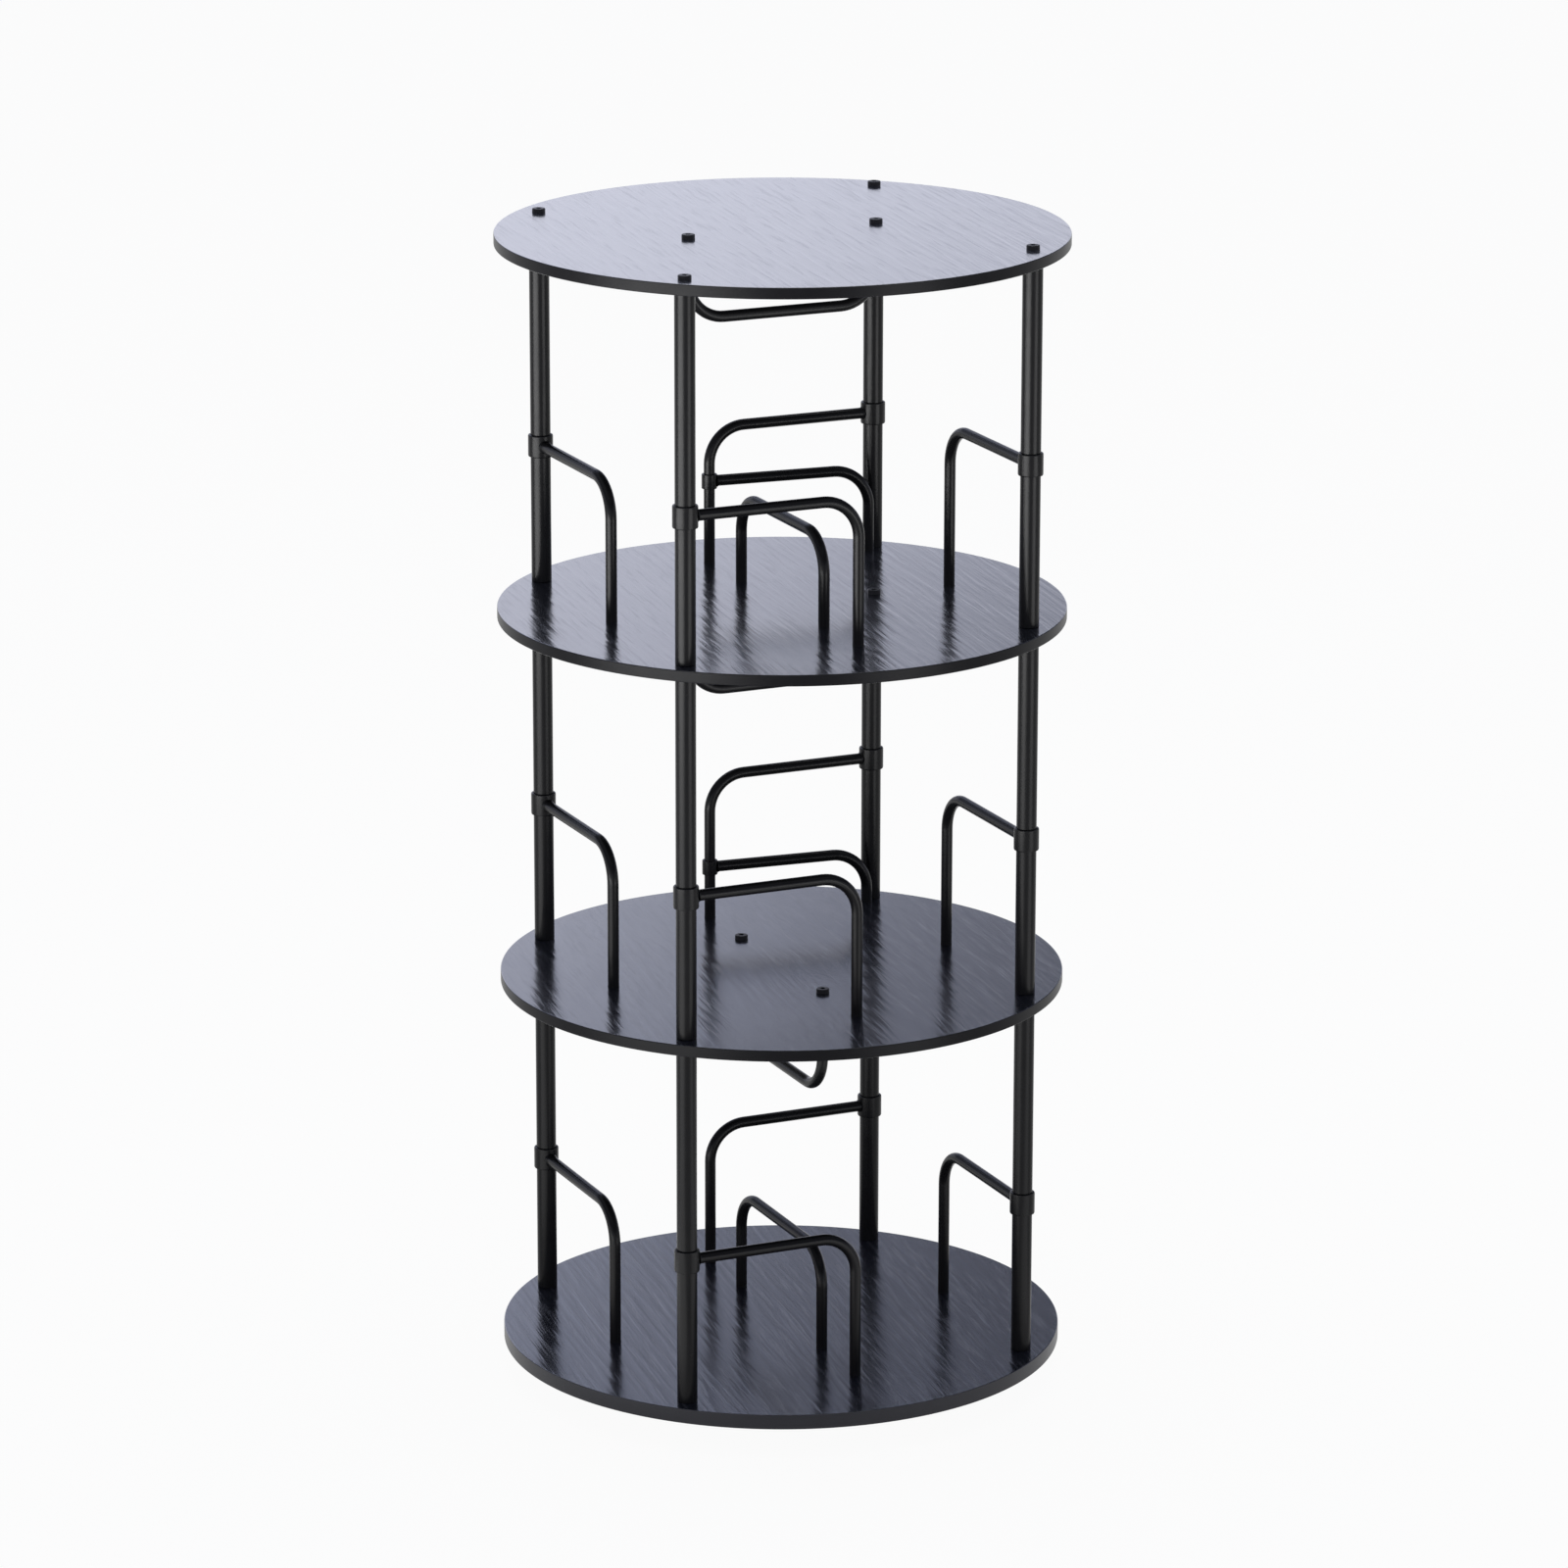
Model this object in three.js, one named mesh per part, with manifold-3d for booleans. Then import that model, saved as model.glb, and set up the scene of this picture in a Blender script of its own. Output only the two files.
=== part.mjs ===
// Rotating media tower: four round boards stacked on steel posts, bent-rod dividers in every tier
// and a ball-bearing turntable out of sight below the bottom board.
// Millimetres, +Z up. The origin is on the floor, on the axis that the tower turns about.
import * as THREE from "three";
import { mergeVertices } from "three/addons/utils/BufferGeometryUtils.js";
import Module from "manifold-3d";

const wasm = await Module();
wasm.setup();

// Round boards
const boardRadius = 225;
const shelfThickness = 9;
const bottomBoardThickness = 12;
const boardEdgeEase = 1;

// Posts, a set of four in each tier
const postDiameter = 16;
const postWall = 1.2;
const postLength = 290;
const postRimInset = 19;
const postPlugLength = 14;
const postStudDiameter = 6;
const postStudReach = 11;

// Bent rods
const rodDiameter = 9;
const rodBendRadius = 30;
const rodSeatDepth = 5;

// Divider arms: a collar on the post, a rod out to the side and a leg down into the board
const armReach = 145;
const armCollarWall = 1.7;
const armCollarLength = 18;

// Heights of the arms over their boards: the collars are set by hand, so the tiers differ a little
const armHeights = {
  lower: { back_right: 118, back_left: 112, front_left: 117, front_right: 124 },
  middle: { back_right: 120, back_left: 114, front_left: 114, front_right: 127 },
  upper: { back_right: 112, back_left: 111, front_left: 116, front_right: 130 },
};

// Back rails: a small collar on the back arm's leg, a rod across and a leg just before the post
const upperRailHeight = 68;
const middleRailHeight = 43;
const railCollarWall = 1.5;
const railCollarLength = 12;
const railPostGap = 2.6;
const railLegBearing = 0.92;

// Central dividers: rods bent to a U that hang below a board or stand on it
const dividerSpan = 160;
const hangingDividerDepth = 55;
const lowerHangingDividerDepth = 74;
const upperStandingDividerHeight = 71;
const lowerStandingDividerHeight = 82;

// Low-head cap screws
const screwHeadDiameter = 10.5;
const screwHeadHeight = 3.3;
const screwRimEase = 0.8;
const screwSocketDiameter = 4.6;
const screwSocketDepth = 2;
const dividerScrewDiameter = 5;
const dividerScrewReach = 12;

// Turntable
const baseRadius = 150;
const baseThickness = 12;
const padInset = 10;
const padHeight = 4;
const padEdgeEase = 0.8;
const bearingHeight = 8;
const bearingOuterRadius = 66;
const bearingBoreRadius = 32;
const plateThickness = 1.5;
const raceRadius = 50;
const raceWidth = 7;
const raceWallThickness = 1.6;
const raceWallHeight = 1.2;
const ballCount = 10;
const cageThickness = 1.2;
const cageWidth = 12;
const plateScrewDiameter = 4;
const plateScrewDepth = 7;
const plateScrewInset = 5;
const plateScrewCount = 3;
const pivotDiameter = 8;
const pivotHeadDiameter = 13;
const pivotHeadHeight = 5;
const pivotHeadRecess = 1;
const pivotInsertDiameter = 14;
const pivotInsertLength = 9;

// Clearances
const slipFit = 0.3;
const cutOverrun = 1;

// Facets
const boardSides = 48;
const baseSides = 36;
const bearingSides = 20;
const postSides = 16;
const rodSides = 8;
const screwSides = 8;
const holeSides = 8;
const socketSides = 6;
const ballSides = 6;
const ballRings = 4;
const bendSteps = 4;
const screwRimSteps = 2;

const quarterTurn = Math.PI / 2;

const finishes = {
  woodGrainLaminate: new THREE.MeshStandardMaterial({ color: 0x2b2b31, roughness: 0.25, metalness: 0 }),
  baseBoard: new THREE.MeshStandardMaterial({ color: 0x1e1e20, roughness: 0.7, metalness: 0 }),
  blackCoat: new THREE.MeshStandardMaterial({ color: 0x17181a, roughness: 0.42, metalness: 0.1 }),
  blackScrew: new THREE.MeshStandardMaterial({ color: 0x101012, roughness: 0.35, metalness: 0.6 }),
  zincSteel: new THREE.MeshStandardMaterial({ color: 0x9a9da1, roughness: 0.35, metalness: 0.9 }),
  rubber: new THREE.MeshStandardMaterial({ color: 0x151515, roughness: 0.9, metalness: 0 }),
};

// Sizes that follow from the ones above
const postRadius = postDiameter / 2;
const studRadius = postStudDiameter / 2;
const rodRadius = rodDiameter / 2;
const dividerScrewRadius = dividerScrewDiameter / 2;
const pivotRadius = pivotDiameter / 2;
const plateScrewRadius = plateScrewDiameter / 2;
const ballRadius = bearingHeight / 2 - plateThickness - slipFit;
const postOffset = (boardRadius - postRimInset) * Math.SQRT1_2;
const armLegOffset = postOffset - armReach;

// Heights of the stack, from the floor up
const baseUnderside = padHeight;
const baseTop = baseUnderside + baseThickness;
const bottomBoardUnderside = baseTop + bearingHeight;
const bottomBoardTop = bottomBoardUnderside + bottomBoardThickness;
const lowerShelfUnderside = bottomBoardTop + postLength;
const lowerShelfTop = lowerShelfUnderside + shelfThickness;
const upperShelfUnderside = lowerShelfTop + postLength;
const upperShelfTop = upperShelfUnderside + shelfThickness;
const topBoardUnderside = upperShelfTop + postLength;
const topBoardTop = topBoardUnderside + shelfThickness;

// The four corners are the same, each turned a quarter further from the back right one
const corners = [
  { name: "back_right", turn: 0 },
  { name: "back_left", turn: quarterTurn },
  { name: "front_left", turn: 2 * quarterTurn },
  { name: "front_right", turn: 3 * quarterTurn },
];

// A rail's leg stands off the back right post by the gap, on the side that faces the front left
const railLegDistance = postRadius + rodRadius + railPostGap;
const railRun = armReach - railLegDistance * Math.cos(railLegBearing);
const railDrift = railLegDistance * Math.sin(railLegBearing);
const railLength = Math.hypot(railRun, railDrift);
const railSwing = Math.atan2(railDrift, railRun);

// Places in plan
const postPlaces = corners.map(({ turn }) => turnedPlace(postOffset, postOffset, turn));
const armLegPlaces = corners.map(({ turn }) => turnedPlace(armLegOffset, postOffset, turn));
const railLegPlace = [armLegOffset + railRun, postOffset - railDrift];
const dividerEndsAlongX = [[-dividerSpan / 2, 0], [dividerSpan / 2, 0]];
const dividerEndsAlongY = [[0, -dividerSpan / 2], [0, dividerSpan / 2]];

function turnedPlace(x, y, turn) {
  return [x * Math.cos(turn) - y * Math.sin(turn), x * Math.sin(turn) + y * Math.cos(turn)];
}

function placesOnCircle(count, radius) {
  const place = (_, index) => turnedPlace(radius, 0, (index * 2 * Math.PI) / count);
  return Array.from({ length: count }, place);
}

// Turns a closed geometry into a solid that can be joined and cut
function solidOf(geometry) {
  const bare = geometry.clone();
  bare.deleteAttribute("normal");
  bare.deleteAttribute("uv");
  const merged = mergeVertices(bare);
  const mesh = new wasm.Mesh({
    numProp: 3,
    vertProperties: Float32Array.from(merged.attributes.position.array),
    triVerts: Uint32Array.from(merged.index.array),
  });
  return new wasm.Manifold(mesh);
}

function meshOf(solid, name, finish) {
  const { vertProperties, triVerts } = solid.getMesh();
  const geometry = new THREE.BufferGeometry();
  geometry.setAttribute("position", new THREE.BufferAttribute(vertProperties, 3));
  geometry.setIndex(new THREE.BufferAttribute(triVerts, 1));
  geometry.computeVertexNormals();
  const mesh = new THREE.Mesh(geometry, finish);
  mesh.name = name;
  return mesh;
}

// An outline of radius and height pairs, listed up the outside and down the inside, turned about Z
function turned(outline, sides) {
  const points = outline.map(([radius, height]) => new THREE.Vector2(radius, height));
  return solidOf(new THREE.LatheGeometry(points, sides).rotateX(quarterTurn));
}

function cylinder(radius, bottom, top, sides) {
  return turned([[0, bottom], [radius, bottom], [radius, top], [0, top]], sides);
}

// A cutter whose flats keep the slip fit to a round piece of this radius
function clearanceHole(radius, bottom, top, sides) {
  return cylinder((radius + slipFit) / Math.cos(Math.PI / sides), bottom, top, sides);
}

function atPlaces(solid, places) {
  return places.map(([x, y]) => solid.translate([x, y, 0]));
}

function cut(solid, cutters) {
  return cutters.reduce((left, cutter) => left.subtract(cutter), solid);
}

function join(solid, others) {
  return others.reduce((whole, other) => whole.add(other), solid);
}

// Centre line of a rod: straight runs with a quarter bend at each inner corner
class RodLine extends THREE.Curve {
  constructor(cornerPoints) {
    super();
    this.stations = [];
    const last = cornerPoints.length - 1;
    const heading = (from) => cornerPoints[from + 1].clone().sub(cornerPoints[from]).normalize();
    this.stations.push({ point: cornerPoints[0], tangent: heading(0) });
    for (let at = 1; at < last; at += 1) {
      this.addBend(cornerPoints[at], heading(at - 1), heading(at));
    }
    this.stations.push({ point: cornerPoints[last], tangent: heading(last - 1) });
  }

  addBend(corner, inward, outward) {
    for (let step = 0; step <= bendSteps; step += 1) {
      const turn = (quarterTurn * step) / bendSteps;
      const point = corner
        .clone()
        .addScaledVector(inward, rodBendRadius * (Math.sin(turn) - 1))
        .addScaledVector(outward, rodBendRadius * (1 - Math.cos(turn)));
      const tangent = inward.clone().multiplyScalar(Math.cos(turn)).addScaledVector(outward, Math.sin(turn));
      this.stations.push({ point, tangent });
    }
  }

  get steps() {
    return this.stations.length - 1;
  }

  getPointAt(share, target = new THREE.Vector3()) {
    return target.copy(this.stations[Math.round(share * this.steps)].point);
  }

  getTangentAt(share, target = new THREE.Vector3()) {
    return target.copy(this.stations[Math.round(share * this.steps)].tangent);
  }
}

// A bent rod in the XZ plane, through corners given as pairs of X and Z
function bentRod(cornerPairs) {
  const line = new RodLine(cornerPairs.map(([x, z]) => new THREE.Vector3(x, 0, z)));
  const sectionPoints = placesOnCircle(rodSides, rodRadius).map(([x, y]) => new THREE.Vector2(x, y));
  const section = new THREE.Shape(sectionPoints);
  return solidOf(new THREE.ExtrudeGeometry(section, { steps: line.steps, extrudePath: line }));
}

// Boards

function disc(radius, thickness, ease, sides) {
  const outline = [
    [0, 0],
    [radius - ease, 0],
    [radius, ease],
    [radius, thickness - ease],
    [radius - ease, thickness],
    [0, thickness],
  ];
  return turned(outline, sides);
}

function board(thickness, { dividerEnds, legPlaces }) {
  const bottom = -cutOverrun;
  const top = thickness + cutOverrun;
  const postHole = clearanceHole(studRadius, bottom, top, holeSides);
  const dividerHole = clearanceHole(dividerScrewRadius, bottom, top, holeSides);
  const legSeat = clearanceHole(rodRadius, thickness - rodSeatDepth - slipFit, top, rodSides);
  return cut(disc(boardRadius, thickness, boardEdgeEase, boardSides), [
    ...atPlaces(postHole, postPlaces),
    ...atPlaces(dividerHole, dividerEnds),
    ...atPlaces(legSeat, legPlaces),
  ]);
}

function bottomBoard() {
  const pocket = clearanceHole(pivotInsertDiameter / 2, -cutOverrun, pivotInsertLength + slipFit, holeSides);
  const plateScrewHole = clearanceHole(plateScrewRadius, -cutOverrun, plateScrewDepth + slipFit, holeSides);
  const plain = board(bottomBoardThickness, { dividerEnds: dividerEndsAlongY, legPlaces: armLegPlaces });
  return cut(plain, [pocket, ...atPlaces(plateScrewHole, plateScrewPlaces())]);
}

// Posts: a tube with a threaded plug in each end. Below the top tier, a stud on its upper end
// passes through the board above into the next post

function post(studLength) {
  const hole = studRadius + slipFit;
  const bore = postRadius - postWall;
  const cavityTop = postLength - postPlugLength;
  const inside = [[bore, cavityTop], [bore, postPlugLength], [hole, postPlugLength], [hole, 0]];
  const outside = [[postRadius, 0], [postRadius, postLength]];
  if (studLength === 0) {
    const rim = [hole, postLength];
    return turned([rim, [hole, cavityTop], ...inside, ...outside, rim], postSides);
  }
  const studTop = postLength + studLength;
  const stud = [[studRadius, postLength], [studRadius, studTop], [0, studTop]];
  return turned([[0, cavityTop], ...inside, ...outside, ...stud], postSides);
}

// Rods

function collared(rod, pieceRadius, wall, length, height, sides) {
  const bottom = height - length / 2;
  const top = height + length / 2;
  const sleeve = cylinder(pieceRadius + slipFit + wall, bottom, top, sides);
  return sleeve.add(rod).subtract(clearanceHole(pieceRadius, bottom - cutOverrun, top + cutOverrun, sides));
}

// From the post's axis out along -X, then down into the board
function dividerArm(height) {
  const rod = bentRod([[0, height], [-armReach, height], [-armReach, -rodSeatDepth]]);
  return collared(rod, postRadius, armCollarWall, armCollarLength, height, postSides);
}

// From the arm leg's axis out along +X, then down into the board
function backRail(height) {
  const rod = bentRod([[0, height], [railLength, height], [railLength, -rodSeatDepth]]);
  return collared(rod, rodRadius, railCollarWall, railCollarLength, height, rodSides);
}

// A U that stands on its board, with a tapped hole up each leg
function centralDivider(height) {
  const end = dividerSpan / 2;
  const rod = bentRod([[-end, 0], [-end, height], [end, height], [end, 0]]);
  const tapped = clearanceHole(dividerScrewRadius, -cutOverrun, dividerScrewReach + slipFit, holeSides);
  return cut(rod, atPlaces(tapped, dividerEndsAlongX));
}

// Fasteners

// Head on the board's face, with its top edge eased, and shank down
function capScrew(shankRadius, shankLength) {
  const headRadius = screwHeadDiameter / 2;
  const rim = Array.from({ length: screwRimSteps + 1 }, (_, step) => {
    const [outward, upward] = turnedPlace(screwRimEase, 0, (quarterTurn * step) / screwRimSteps);
    return [headRadius - screwRimEase + outward, screwHeadHeight - screwRimEase + upward];
  });
  const shank = [[0, -shankLength], [shankRadius, -shankLength], [shankRadius, 0]];
  const outline = [...shank, [headRadius, 0], ...rim, [0, screwHeadHeight]];
  const socketBottom = screwHeadHeight - screwSocketDepth;
  const socket = cylinder(screwSocketDiameter / 2, socketBottom, screwHeadHeight + cutOverrun, socketSides);
  return turned(outline, screwSides).subtract(socket);
}

// Turntable

function plateScrewPlaces() {
  return placesOnCircle(plateScrewCount, bearingOuterRadius - plateScrewInset);
}

function baseDisc() {
  const headRadius = pivotHeadDiameter / 2;
  const headSpace = pivotHeadRecess + pivotHeadHeight + slipFit;
  const screwHoleBottom = baseThickness - plateScrewDepth - slipFit;
  const screwHole = clearanceHole(plateScrewRadius, screwHoleBottom, baseThickness + cutOverrun, holeSides);
  return cut(disc(baseRadius, baseThickness, boardEdgeEase, baseSides), [
    clearanceHole(pivotRadius, -cutOverrun, baseThickness + cutOverrun, holeSides),
    clearanceHole(headRadius, -cutOverrun, headSpace, holeSides),
    ...atPlaces(screwHole, plateScrewPlaces()),
  ]);
}

// Flat ring with two low walls that keep the balls on their race, and its screws into the board below
function bearingPlate() {
  const innerRace = raceRadius - raceWidth / 2;
  const outerRace = raceRadius + raceWidth / 2;
  const wallTop = plateThickness + raceWallHeight;
  const outline = [
    [bearingBoreRadius, plateThickness],
    [bearingBoreRadius, 0],
    [bearingOuterRadius, 0],
    [bearingOuterRadius, plateThickness],
    [outerRace + raceWallThickness, plateThickness],
    [outerRace + raceWallThickness, wallTop],
    [outerRace, wallTop],
    [outerRace, plateThickness],
    [innerRace, plateThickness],
    [innerRace, wallTop],
    [innerRace - raceWallThickness, wallTop],
    [innerRace - raceWallThickness, plateThickness],
    [bearingBoreRadius, plateThickness],
  ];
  const screw = cylinder(plateScrewRadius, -plateScrewDepth, plateThickness, screwSides);
  return join(turned(outline, bearingSides), atPlaces(screw, plateScrewPlaces()));
}

function ballCage() {
  const inner = raceRadius - cageWidth / 2;
  const outer = raceRadius + cageWidth / 2;
  const half = cageThickness / 2;
  const outline = [[inner, -half], [outer, -half], [outer, half], [inner, half], [inner, -half]];
  const ring = turned(outline, bearingSides);
  const ball = solidOf(new THREE.SphereGeometry(ballRadius, ballSides, ballRings));
  return join(ring, atPlaces(ball, placesOnCircle(ballCount, raceRadius)));
}

function pivotBolt() {
  const headRadius = pivotHeadDiameter / 2;
  const tip = baseThickness - pivotHeadRecess + bearingHeight + pivotInsertLength - slipFit;
  const outline = [
    [0, 0],
    [headRadius, 0],
    [headRadius, pivotHeadHeight],
    [pivotRadius, pivotHeadHeight],
    [pivotRadius, tip],
    [0, tip],
  ];
  const socket = cylinder(screwSocketDiameter / 2, -cutOverrun, screwSocketDepth, socketSides);
  return turned(outline, screwSides).subtract(socket);
}

function pivotInsert() {
  const body = cylinder(pivotInsertDiameter / 2, 0, pivotInsertLength, holeSides);
  return body.subtract(clearanceHole(pivotRadius, -cutOverrun, pivotInsertLength + cutOverrun, holeSides));
}

// Assembly

const tower = new THREE.Group();

function add(solid, name, finish, [x, y, z] = [0, 0, 0], parent = tower) {
  const mesh = meshOf(solid, name, finish);
  mesh.position.set(x, y, z);
  parent.add(mesh);
  return mesh;
}

function cornerGroup({ turn }) {
  const group = new THREE.Group();
  group.rotation.z = turn;
  tower.add(group);
  return group;
}

function addBoards() {
  const legPlaces = [...armLegPlaces, railLegPlace];
  const bothWays = [...dividerEndsAlongX, ...dividerEndsAlongY];
  const lowerShelf = board(shelfThickness, { dividerEnds: dividerEndsAlongY, legPlaces });
  const upperShelf = board(shelfThickness, { dividerEnds: bothWays, legPlaces });
  const topBoard = board(shelfThickness, { dividerEnds: dividerEndsAlongX, legPlaces: [] });
  const boards = [
    ["bottom_board", bottomBoard(), bottomBoardUnderside],
    ["lower_shelf", lowerShelf, lowerShelfUnderside],
    ["upper_shelf", upperShelf, upperShelfUnderside],
    ["top_board", topBoard, topBoardUnderside],
  ];
  for (const [name, solid, height] of boards) {
    add(solid, name, finishes.woodGrainLaminate, [0, 0, height]);
  }
}

function addPostsAndArms() {
  const studLength = shelfThickness + postStudReach;
  const tiers = [
    { name: "lower", floor: bottomBoardTop, postSolid: post(studLength) },
    { name: "middle", floor: lowerShelfTop, postSolid: post(studLength) },
    { name: "upper", floor: upperShelfTop, postSolid: post(0) },
  ];
  for (const corner of corners) {
    const group = cornerGroup(corner);
    for (const { name, floor, postSolid } of tiers) {
      const place = [postOffset, postOffset, floor];
      const armSolid = dividerArm(armHeights[name][corner.name]);
      add(postSolid, `${name}_post_${corner.name}`, finishes.blackCoat, place, group);
      add(armSolid, `${name}_arm_${corner.name}`, finishes.blackCoat, place, group);
    }
  }
}

function addBackRails() {
  const rails = [
    ["middle_back_rail", middleRailHeight, lowerShelfTop],
    ["upper_back_rail", upperRailHeight, upperShelfTop],
  ];
  for (const [name, height, floor] of rails) {
    const rail = add(backRail(height), name, finishes.blackCoat, [armLegOffset, postOffset, floor]);
    rail.rotation.z = -railSwing;
  }
}

// A divider along Y is turned a quarter, and one that hangs is turned over
function addCentralDividers() {
  const dividers = [
    ["lower_standing_divider", lowerStandingDividerHeight, bottomBoardTop, true, false],
    ["lower_hanging_divider", lowerHangingDividerDepth, lowerShelfUnderside, true, true],
    ["middle_hanging_divider", hangingDividerDepth, upperShelfUnderside, false, true],
    ["upper_standing_divider", upperStandingDividerHeight, upperShelfTop, true, false],
    ["upper_hanging_divider", hangingDividerDepth, topBoardUnderside, false, true],
  ];
  for (const [name, height, face, alongY, hangs] of dividers) {
    const divider = add(centralDivider(height), name, finishes.blackCoat, [0, 0, face]);
    divider.rotation.set(hangs ? Math.PI : 0, 0, alongY ? quarterTurn : 0);
  }
}

function addScrew(name, solid, [x, y], height, upsideDown) {
  const screw = add(solid, name, finishes.blackScrew, [x, y, height]);
  screw.rotation.x = upsideDown ? Math.PI : 0;
}

function addScrews() {
  const topPostScrew = capScrew(studRadius, shelfThickness + postStudReach);
  const bottomPostScrew = capScrew(studRadius, bottomBoardThickness + postStudReach);
  corners.forEach(({ name }, index) => {
    addScrew(`top_post_screw_${name}`, topPostScrew, postPlaces[index], topBoardTop, false);
    addScrew(`bottom_post_screw_${name}`, bottomPostScrew, postPlaces[index], bottomBoardUnderside, true);
  });
  const shelfScrew = capScrew(dividerScrewRadius, shelfThickness + dividerScrewReach);
  const bottomScrew = capScrew(dividerScrewRadius, bottomBoardThickness + dividerScrewReach);
  const dividerScrews = [
    ["upper_hanging_divider", shelfScrew, dividerEndsAlongX, topBoardTop, false],
    ["middle_hanging_divider", shelfScrew, dividerEndsAlongX, upperShelfTop, false],
    ["lower_hanging_divider", shelfScrew, dividerEndsAlongY, lowerShelfTop, false],
    ["upper_standing_divider", shelfScrew, dividerEndsAlongY, upperShelfUnderside, true],
    ["lower_standing_divider", bottomScrew, dividerEndsAlongY, bottomBoardUnderside, true],
  ];
  for (const [name, solid, ends, height, upsideDown] of dividerScrews) {
    ends.forEach((end, index) => addScrew(`${name}_screw_${index + 1}`, solid, end, height, upsideDown));
  }
}

function addTurntable() {
  add(disc(baseRadius - padInset, padHeight, padEdgeEase, baseSides), "base_pad", finishes.rubber);
  add(baseDisc(), "base_disc", finishes.baseBoard, [0, 0, baseUnderside]);
  add(bearingPlate(), "bearing_lower_plate", finishes.zincSteel, [0, 0, baseTop]);
  add(ballCage(), "bearing_ball_cage", finishes.zincSteel, [0, 0, baseTop + bearingHeight / 2]);
  const upperPlace = [0, 0, bottomBoardUnderside];
  const upperPlate = add(bearingPlate(), "bearing_upper_plate", finishes.zincSteel, upperPlace);
  upperPlate.rotation.x = Math.PI;
  add(pivotBolt(), "pivot_bolt", finishes.zincSteel, [0, 0, baseUnderside + pivotHeadRecess]);
  add(pivotInsert(), "pivot_insert", finishes.zincSteel, upperPlace);
}

addTurntable();
addBoards();
addPostsAndArms();
addBackRails();
addCentralDividers();
addScrews();

export default tower;
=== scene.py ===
# Looks of the rotating media tower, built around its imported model. Metres, +Z up.
import math

import bmesh
import bpy
from mathutils import Matrix, Vector


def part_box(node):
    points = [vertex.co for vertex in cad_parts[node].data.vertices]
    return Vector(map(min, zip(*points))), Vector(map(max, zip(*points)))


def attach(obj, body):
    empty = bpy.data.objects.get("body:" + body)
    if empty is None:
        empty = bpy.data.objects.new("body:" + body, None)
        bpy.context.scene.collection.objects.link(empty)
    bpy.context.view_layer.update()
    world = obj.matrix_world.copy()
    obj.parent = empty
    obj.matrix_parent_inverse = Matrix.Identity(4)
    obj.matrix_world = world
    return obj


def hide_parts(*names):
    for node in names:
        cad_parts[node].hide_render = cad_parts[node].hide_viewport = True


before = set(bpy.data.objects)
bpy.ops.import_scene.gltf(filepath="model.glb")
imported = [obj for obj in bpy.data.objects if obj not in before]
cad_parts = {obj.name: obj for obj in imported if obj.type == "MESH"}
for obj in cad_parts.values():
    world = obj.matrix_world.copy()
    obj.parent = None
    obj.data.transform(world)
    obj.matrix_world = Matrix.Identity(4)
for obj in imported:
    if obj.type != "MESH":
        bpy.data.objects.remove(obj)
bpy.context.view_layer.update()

MM = 0.001
QUARTER = math.pi / 2
UP = Vector((0, 0, 1))

# Roundness
BOARD_SIDES = 240
TUBE_SIDES = 48
ROD_SIDES = 32
HOLE_SIDES = 32
BEND_STEPS = 14
SMOOTH_BELOW = math.radians(40)
MERGE_BELOW = MM / 1000

# A face counts as level, as quite flat, or as part of a rim by how much of its normal is upright
LEVEL_FROM = 0.9
FLAT_FROM = 0.99
RIM_BELOW = 0.8

# Boards
RIM_EASE = 0.7 * MM
RIM_EASE_STEPS = 4

# Posts
POST_RIM_EASE = 0.6 * MM
POST_EASE_STEPS = 2
STUD_RADIUS = 3 * MM
TAPPED_DEPTH = 20 * MM

# Bent rods and their collars
ROD_RADIUS = 4.5 * MM
BEND_RADIUS = 30 * MM
COLLAR_LENGTH = 18 * MM
COLLAR_EASE = 1.1 * MM
SMALL_COLLAR_LENGTH = 12 * MM
SMALL_COLLAR_EASE = 0.5 * MM
COLLAR_EASE_STEPS = 2
COLLAR_SLIP = 0.3 * MM
WELD_WIDTH = 1.0 * MM
WELD_LENGTH = 1.6 * MM
WELD_OVERLAP = 0.5 * MM
DIVIDER_SPAN = 160 * MM
DIVIDER_SCREW_RADIUS = 2.5 * MM
DIVIDER_SCREW_REACH = 12.3 * MM

# Low-head cap screws
HEAD_HEIGHT = 3.3 * MM
HEAD_EASE = 0.7 * MM
HEAD_EASE_STEPS = 3
SOCKET_SIDES = 6
SOCKET_RADIUS = 2.3 * MM
SOCKET_DEPTH = 2 * MM

# Base
PAD_EASE = 0.8 * MM
BASE_EASE_STEPS = 3
PIVOT_BOLT_RADIUS = 4 * MM
PIVOT_HEAD_DEPTH = 5 * MM

# Holes: the play round what passes through, how far a cutter overruns, and the depth of a rod's seat
SLIP = 0.3 * MM
OVERRUN = 1 * MM
SEAT_DEPTH = 5.3 * MM

# Levels this close count as the same
SAME_LEVEL = 0.3 * MM

# The laminate's grain: its heading from +Y towards +X, its strokes, its depth and the pores' share of it
GRAIN_HEADING = math.radians(7)
GRAIN_SPACING = 2.6 * MM
GRAIN_STROKE = 48 * MM
GRAIN_LAYER = 100 * MM
EMBOSS_DEPTH = 0.07 * MM
PORE_DEPTH = 0.5

# Which levels of the noise turn into pores and into ridges, and how much broader the ridges are
PORE_RANGE = (0.52, 0.72)
RIDGE_RANGE = (0.3, 0.7)
RIDGE_COARSENESS = 2.0

# How fine the patterns of the other finishes are, in patches, spangles and cells to the metre
UNEVENNESS = 60.0
SPANGLES = 260.0
FOAM_CELLS = 900.0

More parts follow.
